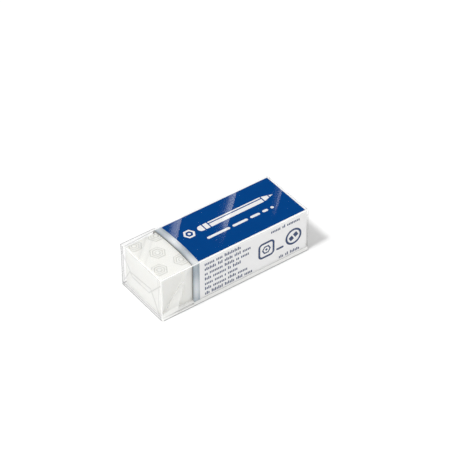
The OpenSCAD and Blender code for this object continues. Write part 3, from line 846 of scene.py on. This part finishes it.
class ERASER_OT_block(bpy.types.Operator):
    """Builds the moulded block with its raised figures"""
    bl_idname = "eraser.block"
    bl_label = "Vinyl block"

    def execute(self, context):
        settings = context.scene.eraser_block
        low, high = BLOCK_LOW.copy(), BLOCK_HIGH.copy()
        low[2] += settings.relief
        high[2] -= settings.relief
        points, normal, faces = rounded_box((high - low)/2, settings.edge_radius, BLOCK_STEPS, ROUND_STEPS)
        # foot is the strength of the painted shade line along each figure's foot.
        relief, foot = rows_of_figures(points[:, 0], points[:, 1], settings)
        broad = np.abs(normal[:, 2]) > 0.999
        edge = (high - low)/2 - settings.edge_radius - np.abs(points)
        inside = broad*ease(np.minimum(edge[:, 0], edge[:, 1])/(0.15*MM) + 0.5)
        points = points + normal*(relief*inside*settings.relief)[:, None] + (high + low)/2
        # Painted highlight along the block's rounded edges, strongest midway round them.
        rim = ease(np.sort(np.abs(normal), axis=1)[:, 1]/0.5)
        piece = make_object("vinyl_block", points, faces, moulded_vinyl(context.scene.eraser_colours),
                            {"foot": foot*inside, "rim": rim})
        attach(piece, BODY)
        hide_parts("eraser_block")
        return {"FINISHED"}


class ERASER_OT_sleeve(bpy.types.Operator):
    """Gives the folded card and its prints their materials"""
    bl_idname = "eraser.sleeve"
    bl_label = "Card sleeve and print"

    def execute(self, context):
        colours = context.scene.eraser_colours
        blue = printed_ink("blue offset ink", colours.blue, "#004285", 0.09)
        finishes = {
            "card_sleeve": coated_card(colours),
            "silver_band": silver_ink(colours),
            "top_blue_field": blue,
            "bottom_blue_field": blue,
            "front_marks": printed_ink("dark blue offset ink", colours.dark_blue, "#0B3464", 0.3),
        }
        for name, material in finishes.items():
            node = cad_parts.get(name)
            if node is None:
                raise RuntimeError(f"The frame has no node named {name}.")
            node.data.materials.clear()
            node.data.materials.append(material)
        return {"FINISHED"}


class ERASER_OT_film(bpy.types.Operator):
    """Builds the clear film round the sleeve and the block"""
    bl_idname = "eraser.film"
    bl_label = "Clear film"

    def execute(self, context):
        settings = context.scene.eraser_film
        # The end flaps add two sheets to this box. The slack lies at the bare end, the front and the top.
        half = np.array([FILM_HIGH[0] - 2*settings.thickness, -FILM_LOW[1], (FILM_HIGH[2] - FILM_LOW[2])/2])
        half += settings.slack/2
        points, normal, faces = rounded_box(half, settings.edge_radius, [settings.spacing]*3, ROUND_STEPS,
                                            FILM_FINE_STEPS)
        moved = drawn_in(points, half, settings)
        points += [-settings.slack/2, -settings.slack/2, half[2]]
        height, haze_and_painted_light, line, pressed = film_relief(points, normal, settings)
        points = points + normal*height[:, None] + moved
        piece = make_object("film_wrap", points, faces,
                            clear_film(context.scene.eraser_colours, settings),
                            {"haze_and_painted_light": haze_and_painted_light, "line": line, "pressed": pressed})
        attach(piece, BODY)
        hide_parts("film_wrapper")
        return {"FINISHED"}


class ERASER_OT_stage(bpy.types.Operator):
    """Sets up the table, the lights and the camera"""
    bl_idname = "eraser.stage"
    bl_label = "Stage"

    def execute(self, context):
        scene = context.scene
        settings = scene.eraser_stage
        points, faces = floor_sheet(settings.floor_half, FLOOR_STEPS)
        points[:, 2] = FILM_LOW[2] - TABLE_GAP
        table = make_object("product_table", points, faces, white_sweep(settings))
        studio_room(settings)

        for name, strength, high, turn, spread in (
                ("key light", settings.key_strength, settings.key_elevation, settings.key_azimuth,
                 settings.key_spread),
                ("fill light", settings.fill_strength, settings.fill_elevation, settings.fill_azimuth,
                 settings.fill_spread)):
            light = bpy.data.lights.new(name, "SUN")
            light.energy, light.angle = strength, spread
            lamp = bpy.data.objects.new(name, light)
            towards = Vector((math.cos(turn)*math.cos(high), math.sin(turn)*math.cos(high), math.sin(high)))
            lamp.rotation_euler = towards.to_track_quat("Z", "Y").to_euler()
            scene.collection.objects.link(lamp)

        camera = bpy.data.cameras.new("camera")
        camera.lens = settings.lens
        camera.sensor_width = SENSOR_WIDTH
        camera.sensor_fit = "HORIZONTAL"
        camera.shift_x, camera.shift_y = settings.shift
        camera.clip_start, camera.clip_end = CAMERA_CLIP
        eye = bpy.data.objects.new("camera", camera)
        turn, high, roll = settings.view_azimuth, settings.view_elevation, settings.view_roll
        back = Vector((math.sin(turn)*math.cos(high), -math.cos(turn)*math.cos(high), math.sin(high)))
        right = Vector((math.cos(turn), math.sin(turn), 0))
        up = back.cross(right)
        rolled = [math.cos(roll)*right + math.sin(roll)*up, math.cos(roll)*up - math.sin(roll)*right, back]
        target = Vector((0, 0, (FILM_LOW[2] + FILM_HIGH[2])/2))
        eye.matrix_world = Matrix.Translation(target + settings.view_distance*back) @ (
            Matrix(rolled).transposed().to_4x4())
        scene.collection.objects.link(eye)
        scene.camera = eye
        scene.view_settings.view_transform = "Standard"
        return {"FINISHED"}


class ERASER_PT_sidebar(bpy.types.Panel):
    """Sizes, colours and steps of the wrapped eraser"""
    bl_idname = "ERASER_PT_sidebar"
    bl_label = "Wrapped eraser"
    bl_space_type = "VIEW_3D"
    bl_region_type = "UI"
    bl_category = "Eraser"

    def draw(self, context):
        for operator, group in STEPS:
            box = self.layout.box()
            settings = getattr(context.scene, group)
            for key in settings.bl_rna.properties.keys():
                if key not in ("rna_type", "name"):
                    box.prop(settings, key)
            box.operator(operator.bl_idname)


STEPS = [
    (ERASER_OT_block, "eraser_block"),
    (ERASER_OT_sleeve, "eraser_colours"),
    (ERASER_OT_film, "eraser_film"),
    (ERASER_OT_stage, "eraser_stage"),
]
GROUPS = {
    "eraser_block": BlockSettings,
    "eraser_colours": ColourSettings,
    "eraser_film": FilmSettings,
    "eraser_stage": StageSettings,
}
CLASSES = list(GROUPS.values()) + [operator for operator, _ in STEPS] + [ERASER_PT_sidebar]


def register():
    for cls in CLASSES:
        bpy.utils.register_class(cls)
    for key, group in GROUPS.items():
        setattr(bpy.types.Scene, key, bpy.props.PointerProperty(type=group))


def unregister():
    for key in GROUPS:
        delattr(bpy.types.Scene, key)
    for cls in reversed(CLASSES):
        bpy.utils.unregister_class(cls)


def main():
    register()
    bpy.ops.eraser.block()
    bpy.ops.eraser.sleeve()
    bpy.ops.eraser.film()
    bpy.ops.eraser.stage()


if __name__ == "__main__":
    main()
